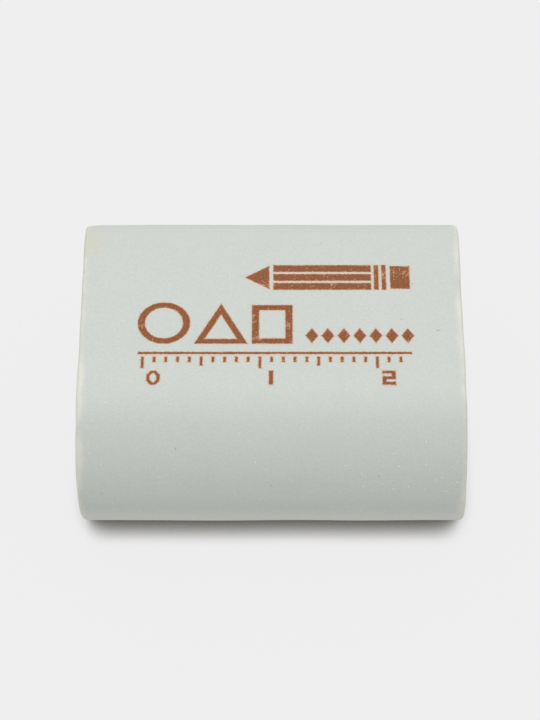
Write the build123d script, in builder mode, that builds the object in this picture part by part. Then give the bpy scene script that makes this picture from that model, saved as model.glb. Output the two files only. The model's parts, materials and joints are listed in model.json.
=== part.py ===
from build123d import *
from math import radians, sin, cos
import os

# A small school eraser: one block of filled white rubber, sliced from a long extruded bar.
# Millimetres. X runs along the bar from cut end to cut end, Y from front to back, Z up.
# The origin lies on the desk, under the middle of the block.

# ---- Driving dimensions ----
length = 33.0           # between the two cut ends, at mid height
depth = 29.0            # front to back, over the bulged sides
height = 15.2           # between the two flat faces
side_bulge = 4.4        # how far each side swells past the edge of the flat faces
shoulder_radius = 4.8   # soft roll where a flat face turns into a side
cut_lean = 0.5          # degrees that both blade cuts lean off square, foot towards +X
cut_edge_radius = 0.4   # worn edge all the way round each cut end

# ---- Sizes that follow ----
flat_width = depth - 2 * side_bulge
cut_direction = Vector(cos(radians(cut_lean)), 0, sin(radians(cut_lean)))
bar_overlength = height * sin(radians(cut_lean)) + cut_edge_radius

os.makedirs("parts", exist_ok=True)

# ---- Eraser block ----
with BuildPart() as eraser_block:
    # The bar's section: flat top and bottom, each side one arc from flat to flat
    with BuildSketch(Plane.YZ) as bar_section:
        with BuildLine():
            foot = Line((-flat_width / 2, 0), (flat_width / 2, 0))
            back = ThreePointArc(foot @ 1, (depth / 2, height / 2), (flat_width / 2, height))
            top = Line(back @ 1, (-flat_width / 2, height))
            ThreePointArc(top @ 1, (-depth / 2, height / 2), foot @ 0)
        make_face()
        fillet(bar_section.vertices(), shoulder_radius)
    extrude(amount=length / 2 + bar_overlength, both=True)

    # Two parallel blade cuts slice the block from the bar, and each leaves a crisp edge
    for end in (-1, 1):
        blade = Plane(origin=(end * length / 2, 0, height / 2), z_dir=cut_direction * end)
        split(bisect_by=blade, keep=Keep.BOTTOM)

    # Handling has rounded the edge of each cut
    cut_faces = eraser_block.faces().filter_by(GeomType.PLANE).sort_by(Axis.X)
    fillet(cut_faces[0].edges() + cut_faces[-1].edges(), cut_edge_radius)

eraser_block.part.label = "eraser_block"
export_step(eraser_block.part, "parts/eraser_block.step")

size = eraser_block.part.bounding_box().size
print(f"eraser_block {size.X:.2f} x {size.Y:.2f} x {size.Z:.2f} mm, "
      f"{eraser_block.part.volume / 1000:.2f} cm3")
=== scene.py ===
# %% [markdown]
# # A small white school eraser
# The object is one block of soft filled rubber. A long bar with flat top and bottom and rounded
# sides is extruded, sliced with a blade, and stamped in brown ink on its top face.
# The imported model gives the depth and the height of the block, so it is loaded first.
# Everything below is in metres, in the same frame: X runs from cut end to cut end, Z points up.

# %% Load the imported model
import json
import math
import bmesh
import bpy
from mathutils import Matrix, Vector, noise

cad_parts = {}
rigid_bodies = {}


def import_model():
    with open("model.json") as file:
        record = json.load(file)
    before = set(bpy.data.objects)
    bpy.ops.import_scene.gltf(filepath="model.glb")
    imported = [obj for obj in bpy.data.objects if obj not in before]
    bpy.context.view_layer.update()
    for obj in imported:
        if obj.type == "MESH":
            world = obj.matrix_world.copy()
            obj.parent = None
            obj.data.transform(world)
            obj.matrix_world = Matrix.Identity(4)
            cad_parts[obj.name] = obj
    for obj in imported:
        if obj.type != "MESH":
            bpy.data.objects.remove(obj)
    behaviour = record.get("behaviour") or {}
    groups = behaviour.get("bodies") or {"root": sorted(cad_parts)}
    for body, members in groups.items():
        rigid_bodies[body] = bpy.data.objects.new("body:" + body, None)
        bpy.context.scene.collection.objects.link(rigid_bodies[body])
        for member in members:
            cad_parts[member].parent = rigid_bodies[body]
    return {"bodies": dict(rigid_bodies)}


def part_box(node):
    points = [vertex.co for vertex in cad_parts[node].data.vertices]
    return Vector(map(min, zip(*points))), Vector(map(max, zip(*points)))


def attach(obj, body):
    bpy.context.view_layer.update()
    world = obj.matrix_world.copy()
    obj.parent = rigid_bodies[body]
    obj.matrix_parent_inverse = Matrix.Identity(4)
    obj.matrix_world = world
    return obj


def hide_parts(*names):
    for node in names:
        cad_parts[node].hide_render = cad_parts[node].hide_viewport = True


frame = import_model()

MM = 0.001
BLOCK_NODE = "eraser_block"
BODY = next(iter(frame["bodies"]))
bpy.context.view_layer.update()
block_low, block_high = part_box(BLOCK_NODE)
HEIGHT = block_high[2] - block_low[2]
DEPTH = block_high[1] - block_low[1]
print("body", BODY, "- depth and height in mm", round(DEPTH / MM, 2), round(HEIGHT / MM, 2))

# %% [markdown]
# ## Working in edit mode from a script
# Every operator acts on what is selected, so small helpers do the clicking: one clears the
# selection in object mode, one picks vertices, edges or faces by a rule on their place, and one
# compares two lengths. Choosing by place keeps the steps readable and survives a change of size.

# %% Selection helpers
def clear_selection():
    """Back to object mode with nothing selected."""
    if bpy.context.object and bpy.context.object.mode != "OBJECT":
        bpy.ops.object.mode_set(mode="OBJECT")
    bpy.ops.object.select_all(action="DESELECT")


def pick(kind, rule):
    """In edit mode, selects only the VERT, EDGE or FACE elements for which rule(element) is true."""
    bpy.ops.mesh.select_mode(type=kind)
    bpy.ops.mesh.select_all(action="DESELECT")
    mesh = bmesh.from_edit_mesh(bpy.context.object.data)
    elements = {"VERT": mesh.verts, "EDGE": mesh.edges, "FACE": mesh.faces}[kind]
    chosen = [element for element in elements if rule(element)]
    for element in chosen:
        element.select_set(True)
    mesh.select_flush_mode()
    bmesh.update_edit_mesh(bpy.context.object.data)
    return len(chosen)


SAME_PLACE = 1e-7   # m; points closer than this are one point


def near(value, target, slack=1e-6):
    """True if two lengths in metres are the same to a thousandth of a millimetre."""
    return abs(value - target) < slack


# %% [markdown]
# ## The section of the bar
# Seen from its cut end, the bar has a flat top and bottom, and each side is one wide arc. A soft
# roll joins the flats to the arcs, because the die that the rubber is pushed through has no sharp
# corner. The numbers below describe that section and the cuts, and the centres of the two circles
# follow from them with a little trigonometry.

# %% Section sizes
LENGTH = 33.0 * MM         # between the two cut ends
SIDE_BULGE = 4.4 * MM      # how far a side swells past the flat face's edge
SHOULDER_RADIUS = 4.8 * MM  # the soft roll between a flat face and a side
CUT_EDGE_RADIUS = 0.4 * MM  # the worn edge round each cut end
CUT_LEAN = math.radians(0.5)  # the blade cuts lean off square, foot towards +X

half_height = HEIGHT / 2
side_radius = (half_height ** 2 + SIDE_BULGE ** 2) / (2 * SIDE_BULGE)
side_centre_y = DEPTH / 2 - side_radius
shoulder_centre_z = HEIGHT - SHOULDER_RADIUS
shoulder_rise = shoulder_centre_z - half_height
shoulder_reach = math.sqrt((side_radius - SHOULDER_RADIUS) ** 2 - shoulder_rise ** 2)
flat_edge_y = side_centre_y + shoulder_reach
side_angle = math.atan2(shoulder_rise, shoulder_reach)
shoulder_angle = math.pi / 2 - side_angle
print("side arc radius in mm", round(side_radius / MM, 2))
print("depth of the flat face in mm", round(2 * flat_edge_y / MM, 2))

# %% [markdown]
# ## The block, as the die and the blade make it
# The top face starts as a grid, fine enough to carry small hollows later. Each side is then made
# by spinning the face's long edge about the axis of its arc, the way the die turns the surface:
# a short spin for the shoulder, a long one for the side, a short one for the foot. Bridging the
# two free edges gives the underside, and the open ends are closed as the blade leaves them.

# %% Spin the sides and bridge the underside
GRID_STEP = 0.5 * MM
columns = round(LENGTH / GRID_STEP)
rows = round(2 * flat_edge_y / GRID_STEP)
SHOULDER_STEPS = 8
SIDE_STEPS = 26

clear_selection()
bpy.ops.mesh.primitive_grid_add(x_subdivisions=columns, y_subdivisions=rows, size=1,
                                location=(0, 0, HEIGHT))
block = bpy.context.object
block.name = block.data.name = "eraser_rubber"
block.scale = (LENGTH, 2 * flat_edge_y, 1)
bpy.ops.object.transform_apply(location=True, rotation=True, scale=True)
bpy.ops.object.mode_set(mode="EDIT")
for side in (-1, 1):
    pick("EDGE", lambda edge: all(near(v.co.y, side * flat_edge_y) and near(v.co.z, HEIGHT)
                                  for v in edge.verts))
    arcs = ((SHOULDER_STEPS, shoulder_angle, side * flat_edge_y, shoulder_centre_z),
            (SIDE_STEPS, 2 * side_angle, side * side_centre_y, half_height),
            (SHOULDER_STEPS, shoulder_angle, side * flat_edge_y, SHOULDER_RADIUS))
    for steps, angle, centre_y, centre_z in arcs:
        bpy.ops.mesh.spin(steps=steps, angle=side * angle, center=(0, centre_y, centre_z),
                          axis=(1, 0, 0))
ON_DESK = 0.01 * MM        # an edge this close to the desk belongs to the underside
found = pick("EDGE", lambda edge: edge.is_boundary and all(near(v.co.z, 0, ON_DESK) for v in edge.verts)
             and near(edge.verts[0].co.y, edge.verts[1].co.y))
print("edges to bridge under the block:", found, "of", 2 * columns)
bpy.ops.mesh.bridge_edge_loops(number_cuts=rows - 1)

# %% Close the cut ends and round their edges
CUT_EDGE_SEGMENTS = 5
for end in (-1, 1):
    pick("EDGE", lambda edge: edge.is_boundary
         and all(near(v.co.x, end * LENGTH / 2) for v in edge.verts))
    bpy.ops.mesh.edge_face_add()
bpy.ops.mesh.select_all(action="SELECT")
bpy.ops.mesh.remove_doubles(threshold=SAME_PLACE)
bpy.ops.mesh.normals_make_consistent(inside=False)
pick("EDGE", lambda edge: all(near(abs(v.co.x), LENGTH / 2) for v in edge.verts))
bpy.ops.mesh.bevel(offset=CUT_EDGE_RADIUS, segments=CUT_EDGE_SEGMENTS, profile=0.5, affect="EDGES")
CAP_RINGS = (0.15, 0.5, 1.2, 2.4)  # mm between rings on the cut face, close together near its edge
CAP_CORNERS = 8     # only the two faces that close the ends have more corners than this
pick("FACE", lambda face: len(face.verts) > CAP_CORNERS)
for ring in CAP_RINGS:
    bpy.ops.mesh.inset(thickness=ring * MM, use_boundary=True)
bpy.ops.object.mode_set(mode="OBJECT")
print("block faces", len(block.data.polygons))

# %% [markdown]
# ## Small unevenness of a real block
# Rubber is soft when it is cut and is never quite true. The blade leaned a little, the sides
# swell and dip by a few hundredths of a millimetre, and the corners that fingers and the desk
# touch have worn rounder. These moves are made on the vertices, so they show in the outline and in
# the highlights. The top and the underside stay flat: one carries the stamp, one meets the desk.

# %% Lean the cuts, wear the corners
def fade(value, start, end):
    """0 before start, 1 after end, with a smooth change between."""
    t = min(max((value - start) / (end - start), 0.0), 1.0)
    return t * t * (3 - 2 * t)


SWELL = 0.04 * MM           # height of the slow unevenness of the sides
SWELL_SIZE = 7 * MM
SWELL_ONSET = 2 * MM        # how far beyond the flat face's edge the swell is at its full height
CUT_WOBBLE = 0.07 * MM      # how unevenly the blade left the ends
CUT_WOBBLE_SIZE = 3.5 * MM
CUT_WOBBLE_BIAS = 0.7       # taken off the noise, so that nearly all of the wobble is inwards
CUT_WOBBLE_REACH = 1.2 * MM
END_SHORT = 0.14 * MM       # what the blade took more off the -X end, at its top and its foot
WORN_DEPTH = 0.30 * MM      # what the most handled corner has lost
WORN_REACH = 1.6 * MM
# Places as shares of half the depth and of the height; each corner has its share of WORN_DEPTH
worn_corners = (Vector((LENGTH / 2, -0.78 * DEPTH / 2, 0.12 * HEIGHT)),
                Vector((-LENGTH / 2, -0.70 * DEPTH / 2, 0.06 * HEIGHT)),
                Vector((-LENGTH / 2, 0.80 * DEPTH / 2, 0.90 * HEIGHT)))
corner_shares = (1.0, 0.10, 0.40)
TOP_FADE, FOOT_FADE = (0.80, 0.94), (0.15, 0.50)   # shares of the height for END_SHORT
OTHER_PLACE = Vector((9, 3, 5))   # keeps the wobble of the ends apart from the swell of the sides

normals = [vertex.normal.copy() for vertex in block.data.vertices]
for vertex, normal in zip(block.data.vertices, normals):
    place = vertex.co.copy()
    side_share = fade(abs(place.y), flat_edge_y, flat_edge_y + SWELL_ONSET)
    end_share = fade(abs(place.x), LENGTH / 2 - CUT_WOBBLE_REACH, LENGTH / 2)
    swell = SWELL * noise.noise(place / SWELL_SIZE) * side_share
    wobble = noise.noise(place / CUT_WOBBLE_SIZE + OTHER_PLACE) - CUT_WOBBLE_BIAS
    wobble *= CUT_WOBBLE * end_share
    move = normal * swell
    move.x += math.copysign(wobble, place.x)
    if place.x < 0:
        top_share = fade(place.z / HEIGHT, *TOP_FADE)
        foot_share = 1 - fade(place.z / HEIGHT, *FOOT_FADE)
        move.x += END_SHORT * end_share * (top_share + foot_share)
    for corner, share in zip(worn_corners, corner_shares):
        loss = WORN_DEPTH * share * (1 - fade((place - corner).length, 0, WORN_REACH))
        move -= normal * loss
    if place.z + move.z < 0:
        move.z = -place.z
    vertex.co = place + move
    vertex.co.x -= (place.z - half_height) * math.tan(CUT_LEAN)

clear_selection()
block.select_set(True)
bpy.context.view_layer.objects.active = block
bpy.ops.object.shade_smooth()
print("block box in mm", [round(c / MM, 2) for c in block.dimensions])

# %% [markdown]
# ## The stamp
# A rubber pad or a hot die presses brown ink on the top face. The film is some hundredths of a
# millimetre thick. Here it is a thin sheet with real outlines: a pencil, three geometry shapes,
# a row of diamonds, a ruled line and a small centimetre scale. Each shape is drawn flat with
# primitives, inset where it is an outline, and joined into one piece. A narrow skirt round every
# shape fades from ink to bare rubber, so the material can fray the edge as a worn stamp does.

# %% Flat shapes
SKIRT = 0.20         # mm; band along every outline in which the ink frays out
FILM = 0.03 * MM     # thickness of the film, most of it sunk in the rubber
PROUD = 0.006 * MM   # how much of it stands above the face
stamp_parts = []


def flat_shape(corners, centre, size, turn=0.0, stroke=None):
    """A filled regular shape in mm, or only its outline if a stroke width is given.

    Half of the skirt is added outside each edge, so the ink's own edge keeps the stated place."""
    clear_selection()
    bpy.ops.mesh.primitive_circle_add(vertices=corners, radius=1, fill_type="NGON", location=(0, 0, 0))
    shape = bpy.context.object
    bpy.ops.object.mode_set(mode="EDIT")
    bpy.ops.transform.rotate(value=-turn, orient_axis="Z", center_override=(0, 0, 0))
    mesh = bmesh.from_edit_mesh(shape.data)
    spans = [max(v.co[k] for v in mesh.verts) - min(v.co[k] for v in mesh.verts) for k in (0, 1)]
    middle = [(max(v.co[k] for v in mesh.verts) + min(v.co[k] for v in mesh.verts)) / 2 for k in (0, 1)]
    for vertex in mesh.verts:
        vertex.co.x = (centre[0] + (vertex.co.x - middle[0]) / spans[0] * (size[0] + SKIRT)) * MM
        vertex.co.y = (centre[1] + (vertex.co.y - middle[1]) / spans[1] * (size[1] + SKIRT)) * MM
    bmesh.update_edit_mesh(shape.data)
    if stroke:
        bpy.ops.mesh.select_all(action="SELECT")
        bpy.ops.mesh.inset(thickness=(stroke + SKIRT) * MM, use_even_offset=True)
        bpy.ops.mesh.delete(type="FACE")
    bpy.ops.object.mode_set(mode="OBJECT")
    stamp_parts.append(shape)
    return shape


def bar(left, right, low, high):
    """A filled upright rectangle in mm."""
    flat_shape(4, ((left + right) / 2, (low + high) / 2), (right - left, high - low), math.pi / 4)


# %% Draw the pencil
PENCIL_TOP, PENCIL_LOW = 5.5, 2.5
LEAD_X, WOOD_X, FERRULE_X, HEAD_X, PENCIL_END = -2.4, -0.2, 8.9, 10.3, 12.0
FACETS = 3
FACET_GAP = 0.26
LEAD_GAP, FERRULE_GAP = 0.35, 0.25
FERRULE_BANDS, FERRULE_BAND, FERRULE_STEP = 2, 0.4, 0.65
HEAD_INSET = 0.12     # the pencil's rubber is a little slimmer than its wood
pencil_middle = (PENCIL_TOP + PENCIL_LOW) / 2
pencil_span = PENCIL_TOP - PENCIL_LOW
facet = (pencil_span - (FACETS - 1) * FACET_GAP) / FACETS
for index in range(FACETS):
    low = PENCIL_LOW + index * (facet + FACET_GAP)
    bar(WOOD_X + LEAD_GAP, FERRULE_X - FERRULE_GAP, low, low + facet)
flat_shape(3, ((LEAD_X + WOOD_X) / 2, pencil_middle), (WOOD_X - LEAD_X, pencil_span), math.pi / 2)
for index in range(FERRULE_BANDS):
    left = FERRULE_X + index * FERRULE_STEP
    bar(left, left + FERRULE_BAND, PENCIL_LOW, PENCIL_TOP)
bar(HEAD_X, PENCIL_END, PENCIL_LOW + HEAD_INSET, PENCIL_TOP - HEAD_INSET)

# %% Draw the three shapes and the row of diamonds
SHAPE_STROKE = 0.62
SHAPE_LOW, SHAPE_SPAN = -3.95, 4.9
CIRCLE_X, TRIANGLE_X, SQUARE_X = -9.25, -4.35, 0.05
CIRCLE_WIDTH, TRIANGLE_WIDTH, SQUARE_WIDTH = 4.5, 4.7, 3.5
CIRCLE_SIDES = 64
TRIANGLE_THINNING = 0.92
SQUARE_LOWERED = 0.15
shape_middle = SHAPE_LOW + SHAPE_SPAN / 2
flat_shape(CIRCLE_SIDES, (CIRCLE_X, shape_middle), (CIRCLE_WIDTH, SHAPE_SPAN), 0, SHAPE_STROKE)
flat_shape(3, (TRIANGLE_X, shape_middle), (TRIANGLE_WIDTH, SHAPE_SPAN), 0,
           SHAPE_STROKE * TRIANGLE_THINNING)
flat_shape(4, (SQUARE_X, shape_middle - SQUARE_LOWERED), (SQUARE_WIDTH, SHAPE_SPAN - 2 * SQUARE_LOWERED),
           math.pi / 4, SHAPE_STROKE)

DIAMONDS, DIAMOND_STEP = 7, 1.37
DIAMOND_SIZE = (1.12, 1.95)
FIRST_DIAMOND_X, DIAMOND_Y = 3.45, -3.0
for index in range(DIAMONDS):
    flat_shape(4, (FIRST_DIAMOND_X + index * DIAMOND_STEP, DIAMOND_Y), DIAMOND_SIZE)

# %% Rule the line and the centimetre scale under it
RULE_LEFT, RULE_RIGHT = -11.4, 11.95
RULE_Y, RULE_WIDTH = -5.05, 0.27
SCALE_START, SCALE_CM = -11.0, 2
SCALE_OVERRUN = 3     # millimetre ticks drawn from the last centimetre on, its own included
TICK_WIDTH, TICK_GAP = 0.25, 0.42
LONG_TICK, MIDDLE_TICK, SHORT_TICK = 1.35, 1.05, 0.65
bar(RULE_LEFT, RULE_RIGHT, RULE_Y - RULE_WIDTH / 2, RULE_Y + RULE_WIDTH / 2)
tick_top = RULE_Y - TICK_GAP
for millimetre in range(10 * SCALE_CM + SCALE_OVERRUN):
    reach = SHORT_TICK
    if millimetre % 5 == 0:
        reach = LONG_TICK if millimetre % 10 == 0 else MIDDLE_TICK
    x = SCALE_START + millimetre
    bar(x - TICK_WIDTH / 2, x + TICK_WIDTH / 2, tick_top - reach, tick_top)

# %% Draw the three figures of the scale
FIGURE_WIDTH, FIGURE_HEIGHT, FIGURE_STROKE = 1.15, 1.65, 0.36
FIGURE_LOW = RULE_Y - 3.70
ZERO_SIDES, ZERO_THINNING = 8, 0.85
FIGURE_SHIFT = 0.95   # mm from a centimetre tick to the middle of its figure
zero_x, one_x, two_x = [SCALE_START + 10 * number + FIGURE_SHIFT for number in range(SCALE_CM + 1)]
figure_middle = FIGURE_LOW + FIGURE_HEIGHT / 2
flat_shape(ZERO_SIDES, (zero_x, figure_middle), (FIGURE_WIDTH, FIGURE_HEIGHT), math.pi / ZERO_SIDES,
           FIGURE_STROKE * ZERO_THINNING)
bar(one_x - FIGURE_STROKE / 2, one_x + FIGURE_STROKE / 2, FIGURE_LOW, FIGURE_LOW + FIGURE_HEIGHT)

# The two is drawn corner by corner, and half of the skirt lies outside its edges as well
wide, tall, thick = FIGURE_WIDTH + SKIRT, FIGURE_HEIGHT + SKIRT, FIGURE_STROKE + SKIRT
lower, upper = (tall - thick) / 2, (tall + thick) / 2
two_outline = ((0, tall), (0, tall - thick), (wide - thick, tall - thick), (wide - thick, upper),
               (0, upper), (0, 0), (wide, 0), (wide, thick), (thick, thick), (thick, lower),
               (wide, lower), (wide, tall))
two = flat_shape(len(two_outline), (0, 0), (1, 1))
for vertex, (x, y) in zip(two.data.vertices, two_outline):
    vertex.co.x = (two_x - wide / 2 + x) * MM
    vertex.co.y = (figure_middle - tall / 2 + y) * MM
print("flat shapes in the stamp:", len(stamp_parts))

# %% [markdown]
# ## From flat shapes to a film of ink
# The shapes are joined. One inset draws a narrow skirt along the inside of every outline, and a
# vertex attribute called "ink" is 1 inside it and 0 on the outline itself. Solidify gives the
# film its thickness, and the sheet is laid on the top face, almost all of it sunk in the rubber.

# %% Join the stamp, mark the ink and give it a thickness
clear_selection()
for part in stamp_parts:
    part.select_set(True)
bpy.context.view_layer.objects.active = stamp_parts[0]
bpy.ops.object.join()
stamp = bpy.context.object
stamp.name = stamp.data.name = "brown_stamp"
bpy.ops.object.mode_set(mode="EDIT")
bpy.ops.mesh.select_all(action="SELECT")
bpy.ops.mesh.remove_doubles(threshold=SAME_PLACE)
mesh = bmesh.from_edit_mesh(stamp.data)
for face in mesh.faces:
    if face.normal.z < 0:
        face.normal_flip()
bmesh.update_edit_mesh(stamp.data)
bpy.ops.mesh.select_mode(type="FACE")
bpy.ops.mesh.select_all(action="SELECT")
bpy.ops.mesh.inset(thickness=SKIRT * MM, use_boundary=True, use_even_offset=True)
bpy.ops.object.mode_set(mode="OBJECT")
inked = {index for face in stamp.data.polygons if face.select for index in face.vertices}
ink = stamp.data.attributes.new("ink", "FLOAT", "POINT")
for index in range(len(stamp.data.vertices)):
    ink.data[index].value = 1.0 if index in inked else 0.0
folded = sum(face.normal.z < 0 for face in stamp.data.polygons)
print("inked points", len(inked), "- faces folded over by the inset", folded)
for vertex in stamp.data.vertices:
    vertex.co.z = HEIGHT + PROUD
solidify = stamp.modifiers.new("film", "SOLIDIFY")
solidify.thickness = FILM
solidify.offset = -1
bpy.ops.object.modifier_apply(modifier=solidify.name)
print("stamp faces", len(stamp.data.polygons))

# %% [markdown]
# ## Colours and nodes
# Colours are written as the eye reads them, in sRGB hex, and one function turns them into the
# linear light that shaders work in. A second one adds a node with its settings and its links, so
# that a material below reads as a recipe. Patterns are drawn in millimetres: the Object
# coordinates are scaled by 1000 once, and every scale is then one over a real size in mm.

# %% Colour and node helpers
def linear(hex_colour, alpha=1.0):
    """An sRGB hex colour, such as "#8A5A3C", as linear RGBA."""
    channels = [int(hex_colour[k:k + 2], 16) / 255 for k in (1, 3, 5)]
    return [c / 12.92 if c <= 0.04045 else ((c + 0.055) / 1.055) ** 2.4 for c in channels] + [alpha]


def add(tree, kind, inputs=(), output=0, **settings):
    """Adds a node with its settings and returns one of its outputs.

    inputs is a list in the order of the sockets, or {name or number of a socket: its input}. An
    input is a value or another node's output. settings are the node's own properties."""
    node = tree.nodes.new(kind)
    for name, value in settings.items():
        setattr(node, name, value)
    pairs = inputs.items() if isinstance(inputs, dict) else enumerate(inputs)
    for socket, value in pairs:
        if isinstance(value, bpy.types.NodeSocket):
            tree.links.new(value, node.inputs[socket])
        else:
            node.inputs[socket].default_value = value
    return node.outputs[output] if len(node.outputs) else node


def new_material(name):
    """An empty node material and its tree."""
    material = bpy.data.materials.new(name)
    material.use_nodes = True
    material.node_tree.nodes.clear()
    return material, material.node_tree


COORDINATES, MAPPING = "ShaderNodeTexCoord", "ShaderNodeMapping"
NOISE, CELLS, CHANNELS = "ShaderNodeTexNoise", "ShaderNodeTexVoronoi", "ShaderNodeSeparateColor"
MATHS, VECTOR_MATHS, AXES = "ShaderNodeMath", "ShaderNodeVectorMath", "ShaderNodeSeparateXYZ"
RANGE, SMOOTH = "ShaderNodeMapRange", {"interpolation_type": "SMOOTHSTEP"}
BLEND, COLOURS = "ShaderNodeMix", {"data_type": "RGBA"}
SHARE, BELOW, ABOVE, BLENDED = 0, 6, 7, 2   # sockets of the Mix node when it mixes colours

# %% [markdown]
# ## White eraser rubber
# The block is soft rubber or vinyl filled with chalk and a little pumice. It leaves the die with
# a dull skin: rough, hardly shiny, pale grey with a trace of green. Up close it has a fine grain,
# white crumbs of filler, a few dark dust specks, and a creamy tone along the cut edges, where the
# skin ends and the fresh rubber has yellowed; that tone is also made paler, as painted light from
# the sides. A paler band low on the sides is painted light thrown up by the floor. The front was
# rubbed by something once: crumbs stand out there, and a short curved scratch runs through them.
# All of that goes into one function, because the bare skirt of the stamp has to look exactly like
# the block under it.

# %% The rubber's colour, grain and roughness
RUBBER = linear("#D1D6D0")
RUBBER_MOTTLED = linear("#CCD2CC")
RUBBER_GRAIN = linear("#BEC2BB")
# cream of the cut edges: the rubber's own yellowing, made paler as painted light from the sides
RUBBER_CREAM_AND_SIDE_LIGHT = linear("#ECE8DA")
RUBBER_AMBER = linear("#D8CFB0")
# pale tone for the low sides, painted light thrown up by the floor
RUBBER_PAINTED_FLOOR_LIGHT = linear("#F0EFEC")
CHALK = linear("#F8FAF4")
DUST = linear("#8F8C84")
RUBBER_IOR = 1.5
ROUGHNESS_SPAN = (0.52, 0.66)
END = LENGTH / 2 / MM        # mm from the middle to a cut end
NOISE_SPAN = (0.3, 0.7)      # nearly all values of a noise lie between these
GRAIN_SPAN = (0.35, 0.65)    # cut closer, for more contrast
MOTTLE_SHARE, GRAIN_SHARE, FLOOR_LIGHT_SHARE, CREAM_AND_LIGHT_SHARE = 0.35, 0.32, 0.65, 0.75   # at their strongest
GRAIN = 0.17         # mm, fine grain of the dull skin; drawn at about twice its real size to show
MOTTLE = 5.0         # mm, slow change of tone
CHALK_CELL = 0.45    # mm between places where a white crumb may lie
CHALK_RADIUS = 0.065
CHALK_KEPT = 0.84    # only cells with a higher random number hold a crumb
DUST_CELL = 1.6
DUST_RADIUS = 0.07
DUST_KEPT = 0.62
SPECK_ONSET = 0.02   # how far past the limit a cell's number has to be for a full speck
SPECK_FADE = (0.4, 1.3)   # shares of its radius between which a speck fades out
CHALK_HEIGHTS = (14.5, 9.0)    # mm above the desk; crumbs are faint at the first, clear at the second
CHALK_STRENGTHS = (0.42, 0.95)
DUST_STRENGTH = 0.75
EDGE_BAND = 0.8     # mm of creamy tone along a cut edge, made paler as painted side light
EDGE_WANDER = (-0.25, 0.35)   # mm by which the mottle moves the inner edge of that tone
YELLOWED_CORE, RUBBED_CORE = 0.2, 1.0   # mm round a spot's middle where it is at full strength
# Amber spots at two corners: x y z and reach in mm, then the strength
yellowed = ((-16.9, 8.6, 14.6, 3.2, 0.48), (16.3, -10.4, 1.6, 1.9, 0.30))
FLOOR_LIGHT_HEIGHT, FLOOR_LIGHT_FULL = 6.2, 2.6   # mm above the desk between which the painted floor light on the sides sets in
RUBBED_SPOT, RUBBED_REACH, RUBBED_EXTRA = (7.3, -14.3, 7.0), 6.0, 0.65
SCRATCH_CENTRE, SCRATCH_RADIUS, SCRATCH_WIDTH = (4.9, 0, 6.4), 2.9, 0.09
SCRATCH_STRENGTH = 0.32
SCRATCH_BREAKS = (0.38, 0.55)   # grain values between which the scratch sets in
# The scratch sets in between two places, in mm, along each of the three axes
scratch_limits = (("X", 3.4, 4.6), ("Z", 7.0, 6.3), ("Y", -9.0, -10.0))
NICK_FADE, NICK_STRENGTH = (0.03, 0.11), 0.55
nicks = ((-3.2, 10.2, 15.2), (14.3, -2.35, 15.2))   # x y z in mm
NICK_STRETCH = 0.35  # a nick's width, as a share of its length along X


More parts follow.
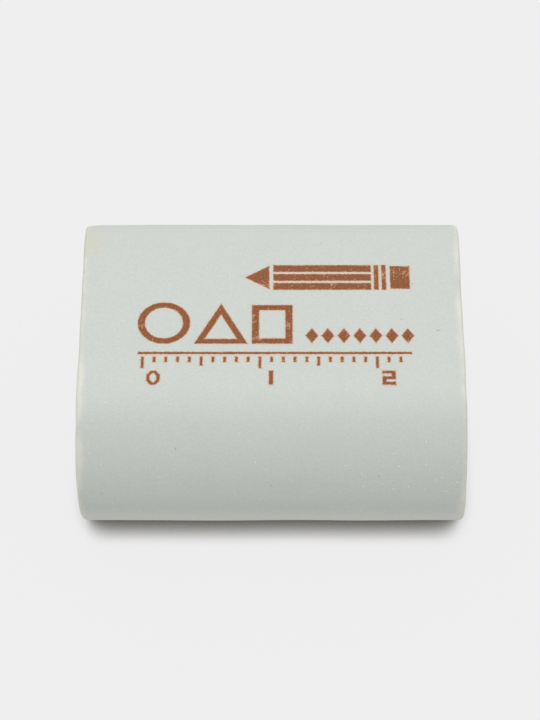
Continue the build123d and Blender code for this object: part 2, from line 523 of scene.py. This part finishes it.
def rubber_surface(tree):
    """Colour, roughness, grain and mottle of the bare rubber, for any piece cut from the block."""
    place = add(tree, COORDINATES, output="Object")
    in_mm = add(tree, MAPPING, {"Vector": place, "Scale": (1000, 1000, 1000)})
    grain = add(tree, NOISE, {"Vector": in_mm, "Scale": 1 / GRAIN, "Detail": 3.0, "Roughness": 0.6})
    mottle = add(tree, NOISE, {"Vector": in_mm, "Scale": 1 / MOTTLE, "Detail": 4.0, "Roughness": 0.55})
    share = add(tree, RANGE, [mottle, *NOISE_SPAN, 0.0, MOTTLE_SHARE], **SMOOTH)
    colour = add(tree, BLEND, {SHARE: share, BELOW: RUBBER, ABOVE: RUBBER_MOTTLED}, BLENDED, **COLOURS)
    share = add(tree, RANGE, [grain, *GRAIN_SPAN, 0.0, GRAIN_SHARE], **SMOOTH)
    colour = add(tree, BLEND, {SHARE: share, BELOW: colour, ABOVE: RUBBER_GRAIN}, BLENDED, **COLOURS)

    # A paler band low on the sides: painted light, standing in for the light that the floor throws up
    above_desk = add(tree, AXES, [in_mm], "Z")
    share = add(tree, RANGE, [above_desk, FLOOR_LIGHT_HEIGHT, FLOOR_LIGHT_FULL, 0.0, FLOOR_LIGHT_SHARE], **SMOOTH)
    colour = add(tree, BLEND, {SHARE: share, BELOW: colour, ABOVE: RUBBER_PAINTED_FLOOR_LIGHT}, BLENDED, **COLOURS)

    # Cream tone along the cut edges, broken up so that it isn't a drawn line; it is paler than the
    # yellowed rubber alone, as painted light from the sides
    along = add(tree, MATHS, [add(tree, AXES, [in_mm], "X")], operation="ABSOLUTE")
    from_edge = add(tree, MATHS, [END, along], operation="SUBTRACT")
    uneven = add(tree, RANGE, [mottle, *NOISE_SPAN, *EDGE_WANDER], **SMOOTH)
    ragged = add(tree, MATHS, [from_edge, uneven], operation="ADD")
    cream_and_side_light = add(tree, RANGE, [ragged, 0.0, EDGE_BAND, CREAM_AND_LIGHT_SHARE, 0.0], **SMOOTH)
    colour = add(tree, BLEND, {SHARE: cream_and_side_light, BELOW: colour, ABOVE: RUBBER_CREAM_AND_SIDE_LIGHT}, BLENDED, **COLOURS)
    for x, y, z, reach, strength in yellowed:
        away = add(tree, VECTOR_MATHS, [in_mm, (x, y, z)], "Value", operation="DISTANCE")
        share = add(tree, RANGE, [away, YELLOWED_CORE, reach, strength, 0.0], **SMOOTH)
        colour = add(tree, BLEND, {SHARE: share, BELOW: colour, ABOVE: RUBBER_AMBER}, BLENDED, **COLOURS)

    # Crumbs of chalk, closest together where the front was rubbed, and rare specks of dust
    away = add(tree, VECTOR_MATHS, [in_mm, RUBBED_SPOT], "Value", operation="DISTANCE")
    rubbed = add(tree, RANGE, [away, RUBBED_CORE, RUBBED_REACH, RUBBED_EXTRA, 0.0], **SMOOTH)
    chalky = add(tree, RANGE, [above_desk, *CHALK_HEIGHTS, *CHALK_STRENGTHS], **SMOOTH)
    for cell, radius, kept, extra, speck, strength in (
            (CHALK_CELL, CHALK_RADIUS, CHALK_KEPT, rubbed, CHALK, chalky),
            (DUST_CELL, DUST_RADIUS, DUST_KEPT, 0.0, DUST, DUST_STRENGTH)):
        distance = add(tree, CELLS, {"Vector": in_mm, "Scale": 1 / cell}, "Distance")
        number = add(tree, CELLS, {"Vector": in_mm, "Scale": 1 / cell}, "Color")
        number = add(tree, MATHS, [add(tree, CHANNELS, [number]), extra], operation="ADD")
        chosen = add(tree, RANGE, [number, kept, kept + SPECK_ONSET, 0.0, 1.0], **SMOOTH)
        edges = [share * radius / cell for share in SPECK_FADE]
        dot = add(tree, RANGE, [distance, *edges, 1.0, 0.0], **SMOOTH)
        dot = add(tree, MATHS, [dot, chosen], operation="MULTIPLY")
        dot = add(tree, MATHS, [dot, strength], operation="MULTIPLY")
        colour = add(tree, BLEND, {SHARE: dot, BELOW: colour, ABOVE: speck}, BLENDED, **COLOURS)

    # The curved scratch on the front, and two dark nicks on the top
    seen_from_front = add(tree, MAPPING, {"Vector": in_mm, "Scale": (1, 0, 1)})
    away = add(tree, VECTOR_MATHS, [seen_from_front, SCRATCH_CENTRE], "Value", operation="DISTANCE")
    away = add(tree, MATHS, [away, SCRATCH_RADIUS], operation="SUBTRACT")
    away = add(tree, MATHS, [away], operation="ABSOLUTE")
    scratch = add(tree, RANGE, [away, 0.0, SCRATCH_WIDTH, SCRATCH_STRENGTH, 0.0], **SMOOTH)
    broken = add(tree, RANGE, [grain, *SCRATCH_BREAKS, 0.0, 1.0], **SMOOTH)
    for axis, start, end in scratch_limits:
        reached = add(tree, AXES, [in_mm], axis)
        part = add(tree, RANGE, [reached, start, end, 0.0, 1.0], **SMOOTH)
        broken = add(tree, MATHS, [broken, part], operation="MULTIPLY")
    scratch = add(tree, MATHS, [scratch, broken], operation="MULTIPLY")
    colour = add(tree, BLEND, {SHARE: scratch, BELOW: colour, ABOVE: CHALK}, BLENDED, **COLOURS)
    squeezed = add(tree, MAPPING, {"Vector": in_mm, "Scale": (NICK_STRETCH, 1, 1)})
    for x, y, z in nicks:
        away = add(tree, VECTOR_MATHS, [squeezed, (NICK_STRETCH * x, y, z)], "Value",
                   operation="DISTANCE")
        nick = add(tree, RANGE, [away, *NICK_FADE, NICK_STRENGTH, 0.0], **SMOOTH)
        colour = add(tree, BLEND, {SHARE: nick, BELOW: colour, ABOVE: DUST}, BLENDED, **COLOURS)
    roughness = add(tree, RANGE, [grain, *NOISE_SPAN, *ROUGHNESS_SPAN], **SMOOTH)
    return in_mm, along, colour, roughness, grain, mottle


# %% Rubber material
BLADE_LINE = 0.30    # mm between the fine drag lines that the blade leaves on a cut end
BLADE_REACH = 4.0    # mm, about how long one line is
BLADE_TURN = math.radians(14)
BLADE_TONE = linear("#BBBDB1")
BLADE_SHARE = 0.16
CUT_FACE = (0.3, 0.15)   # mm before the end where the cut face's own look sets in, and is full
MOTTLE_RELIEF, DRAG_RELIEF = 2.5, 1.6   # heights beside that of the grain, which counts as 1
BUMP = {"Strength": 0.55, "Distance": 0.012 * MM}

rubber, tree = new_material("white_filled_rubber")
in_mm, along, colour, roughness, grain, mottle = rubber_surface(tree)
cut_face = add(tree, RANGE, [along, END - CUT_FACE[0], END - CUT_FACE[1], 0.0, 1.0], **SMOOTH)
blade_map = add(tree, MAPPING, {"Vector": in_mm, "Rotation": (BLADE_TURN, 0, 0),
                                "Scale": (1, 1 / BLADE_LINE, 1 / BLADE_REACH)})
drag = add(tree, NOISE, {"Vector": blade_map, "Scale": 1.0, "Detail": 3.0})
drag_share = add(tree, RANGE, [drag, *NOISE_SPAN, 0.0, BLADE_SHARE], **SMOOTH)
drag_share = add(tree, MATHS, [drag_share, cut_face], operation="MULTIPLY")
colour = add(tree, BLEND, {SHARE: drag_share, BELOW: colour, ABOVE: BLADE_TONE}, BLENDED, **COLOURS)
slow = add(tree, MATHS, [mottle, MOTTLE_RELIEF], operation="MULTIPLY")
height = add(tree, MATHS, [grain, slow], operation="ADD")
drag_height = add(tree, MATHS, [drag, cut_face], operation="MULTIPLY")
drag_height = add(tree, MATHS, [drag_height, DRAG_RELIEF], operation="MULTIPLY")
height = add(tree, MATHS, [height, drag_height], operation="ADD")
bump = add(tree, "ShaderNodeBump", {"Height": height, **BUMP})
shader = add(tree, "ShaderNodeBsdfPrincipled",
             {"Base Color": colour, "Roughness": roughness, "Normal": bump, "IOR": RUBBER_IOR})
add(tree, "ShaderNodeOutputMaterial", {"Surface": shader})
print("rubber nodes", len(tree.nodes))

# %% [markdown]
# ## Brown stamping ink
# The ink is a thin opaque brown that sits in the grain of the rubber. Crumbs of chalk leave
# pinholes in it, the pad left some strokes thin, and at the edges it soaks outwards as a paler
# orange. The "ink" attribute is bent by noise before it is cut off, which frays the outlines.

# %% Ink material
INK = linear("#9C5A22")
INK_DARK = linear("#78380C")
INK_BLEED = linear("#DB9F6B")
FRAY = 0.16          # mm, size of the frayed bites along an edge
PINHOLE_CELL = 0.26
PATCH = 1.3          # mm, size of patches where the ink went on thin
FRAY_SPAN, FRAY_BEND = (0.25, 0.75), (-0.24, 0.24)   # how far the fray moves the "ink" attribute
COVER_SPAN = (0.42, 0.74)      # bent values between which the ink sets in
PINHOLE_FADE, PINHOLE_SHARE = (0.10, 0.32), 0.80
PINHOLE_KEPT = (0.74, 0.78)    # cells with a higher random number have a pinhole
THIN_SPAN, THIN_SHARE = (0.60, 0.74), 0.8
THIN_GRAIN = (0.42, 0.6)
BLEED_SPAN, BLEED_SHARE = (0.0, 0.50), 0.8
INK_SMOOTHING = 0.08           # how much less rough the ink is than the rubber

ink_material, tree = new_material("brown_stamping_ink")
in_mm, along, colour, roughness, grain, mottle = rubber_surface(tree)
amount = add(tree, "ShaderNodeAttribute", output="Fac", attribute_name="ink")
fray = add(tree, NOISE, {"Vector": in_mm, "Scale": 1 / FRAY, "Detail": 2.0})
patch = add(tree, NOISE, {"Vector": in_mm, "Scale": 1 / PATCH, "Detail": 3.0})
bend = add(tree, RANGE, [fray, *FRAY_SPAN, *FRAY_BEND], **SMOOTH)
bent = add(tree, MATHS, [amount, bend], operation="ADD")
cover = add(tree, RANGE, [bent, *COVER_SPAN, 0.0, 1.0], **SMOOTH)
distance = add(tree, CELLS, {"Vector": in_mm, "Scale": 1 / PINHOLE_CELL}, "Distance")
number = add(tree, CELLS, {"Vector": in_mm, "Scale": 1 / PINHOLE_CELL}, "Color")
number = add(tree, CHANNELS, [number])
hole = add(tree, RANGE, [distance, *PINHOLE_FADE, PINHOLE_SHARE, 0.0], **SMOOTH)
kept = add(tree, RANGE, [number, *PINHOLE_KEPT, 0.0, 1.0], **SMOOTH)
hole = add(tree, MATHS, [hole, kept], operation="MULTIPLY")
thin = add(tree, RANGE, [patch, *THIN_SPAN, 0.0, THIN_SHARE], **SMOOTH)
thin_grain = add(tree, RANGE, [fray, *THIN_GRAIN, 0.0, 1.0], **SMOOTH)
thin = add(tree, MATHS, [thin, thin_grain], operation="MULTIPLY")
bare = add(tree, MATHS, [hole, thin], operation="MAXIMUM")
solid = add(tree, MATHS, [1.0, bare], operation="SUBTRACT")
cover = add(tree, MATHS, [cover, solid], operation="MULTIPLY")
tone = add(tree, RANGE, [fray, *NOISE_SPAN, 0.0, 1.0], **SMOOTH)
ink_tone = add(tree, BLEND, {SHARE: tone, BELOW: INK_DARK, ABOVE: INK}, BLENDED, **COLOURS)
bleed = add(tree, RANGE, [bent, *BLEED_SPAN, 0.0, BLEED_SHARE], **SMOOTH)
colour = add(tree, BLEND, {SHARE: bleed, BELOW: colour, ABOVE: INK_BLEED}, BLENDED, **COLOURS)
colour = add(tree, BLEND, {SHARE: cover, BELOW: colour, ABOVE: ink_tone}, BLENDED, **COLOURS)
smoother = add(tree, MATHS, [cover, INK_SMOOTHING], operation="MULTIPLY")
roughness = add(tree, MATHS, [roughness, smoother], operation="SUBTRACT")
slow = add(tree, MATHS, [mottle, MOTTLE_RELIEF], operation="MULTIPLY")
height = add(tree, MATHS, [grain, slow], operation="ADD")
height = add(tree, MATHS, [height, cover], operation="ADD")
bump = add(tree, "ShaderNodeBump", {"Height": height, **BUMP})
shader = add(tree, "ShaderNodeBsdfPrincipled",
             {"Base Color": colour, "Roughness": roughness, "Normal": bump, "IOR": RUBBER_IOR})
add(tree, "ShaderNodeOutputMaterial", {"Surface": shader})
print("ink nodes", len(tree.nodes))

# %% Give each piece its finish and tie it to the model
for piece, material, slot in ((block, rubber, "white_rubber"), (stamp, ink_material, "brown_ink")):
    piece.data.materials.clear()
    piece.data.materials.append(material)
    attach(piece, BODY)
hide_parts(BLOCK_NODE)

# %% [markdown]
# ## The table, the light and the camera
# Small goods like this are shown on a pale sweep under a big soft light. The floor has two faces.
# What it throws back at the block is an even, slightly dimmer glow. What the camera sees directly
# is mostly a glow too, as on an overlit studio sweep, with a small share lit by the lamps, and it
# goes dark only in the tight contact shadow beside the block.

# %% Floor
FLOOR = linear("#EFEFEF")
FLOOR_CONTACT = linear("#352B16")
FLOOR_BOUNCE = linear("#B8B8B6")  # what it throws back at the block, less than the eye sees
FLOOR_SIZE, FLOOR_GRID = 4.0, 8
SHADOW_REACH = 2.75 * MM
SHADOW_SPAN = (0.05, 0.80)   # shares of open sky between which the contact shadow fades out
SHADOW_SAMPLES = 16
LIT_SHARE = 0.06     # how much of the floor's seen brightness comes from the lamps

clear_selection()
bpy.ops.mesh.primitive_grid_add(x_subdivisions=FLOOR_GRID, y_subdivisions=FLOOR_GRID,
                                size=FLOOR_SIZE, location=(0, 0, 0))
floor = bpy.context.object
floor.name = floor.data.name = "studio_floor"
floor_paint, tree = new_material("pale_studio_sweep")
paint = add(tree, "ShaderNodeBsdfDiffuse", {"Color": FLOOR})
bounce = add(tree, "ShaderNodeEmission", {"Color": FLOOR_BOUNCE})
contact = add(tree, "ShaderNodeAmbientOcclusion", {"Distance": SHADOW_REACH}, "AO",
              samples=SHADOW_SAMPLES)
open_share = add(tree, RANGE, [contact, *SHADOW_SPAN, 0.0, 1.0], **SMOOTH)
glow_colour = add(tree, BLEND, {SHARE: open_share, BELOW: FLOOR_CONTACT, ABOVE: FLOOR}, BLENDED,
                  **COLOURS)
glow = add(tree, "ShaderNodeEmission", {"Color": glow_colour})
seen = add(tree, "ShaderNodeMixShader", [LIT_SHARE, glow, paint])
direct = add(tree, "ShaderNodeLightPath", output="Is Camera Ray")
surface = add(tree, "ShaderNodeMixShader", [direct, bounce, seen])
add(tree, "ShaderNodeOutputMaterial", {"Surface": surface})
floor.data.materials.append(floor_paint)

# %% Soft light
SKY_STRENGTH = 0.94
world = bpy.data.worlds.new("soft_studio")
bpy.context.scene.world = world
world.use_nodes = True
tree = world.node_tree
tree.nodes.clear()
camera_ray = add(tree, "ShaderNodeLightPath", output="Is Camera Ray")
glossy_ray = add(tree, "ShaderNodeLightPath", output="Is Glossy Ray")
passed_ray = add(tree, "ShaderNodeLightPath", output="Is Transmission Ray")
direct = add(tree, MATHS, [camera_ray, glossy_ray], operation="MAXIMUM")
direct = add(tree, MATHS, [direct, passed_ray], operation="MAXIMUM")
sky = add(tree, "ShaderNodeBackground", {"Color": linear("#FFFFFF"), "Strength": SKY_STRENGTH})
backdrop = add(tree, "ShaderNodeBackground", {"Color": FLOOR, "Strength": 1.0})
both = add(tree, "ShaderNodeMixShader", [direct, sky, backdrop])
add(tree, "ShaderNodeOutputWorld", {"Surface": both})

SOFTBOX_DISTANCE = 0.5
SOFTBOX_TILT = math.radians(26)   # behind the block, so the shadow falls towards the camera
SOFTBOX_SIZE, SOFTBOX_POWER = 0.45, 0.26
clear_selection()
bpy.ops.object.light_add(type="AREA", location=(0, SOFTBOX_DISTANCE * math.sin(SOFTBOX_TILT),
                                                SOFTBOX_DISTANCE * math.cos(SOFTBOX_TILT)),
                         rotation=(-SOFTBOX_TILT, 0, 0))
softbox = bpy.context.object
softbox.name = "softbox"
softbox.data.shape = "SQUARE"
softbox.data.size = SOFTBOX_SIZE
softbox.data.energy = SOFTBOX_POWER

# %% Camera
CAMERA_ELEVATION = math.radians(46.7)
CAMERA_DISTANCE = 306.9 * MM
AIM = Vector((-0.14 * MM, 1.25 * MM, half_height + 0.05 * MM))
FOCAL_LENGTH = 174.3          # a long lens: the block is small and seen from about 30 cm
CLIP_START = 0.01             # m; nearer than the block from any side
back = Vector((0, -math.cos(CAMERA_ELEVATION), math.sin(CAMERA_ELEVATION)))
bpy.ops.object.camera_add(location=AIM + back * CAMERA_DISTANCE,
                          rotation=(math.pi / 2 - CAMERA_ELEVATION, 0, 0))
camera = bpy.context.object
camera.data.lens = FOCAL_LENGTH
camera.data.clip_start = CLIP_START
bpy.context.scene.camera = camera
bpy.context.scene.view_settings.view_transform = "Standard"
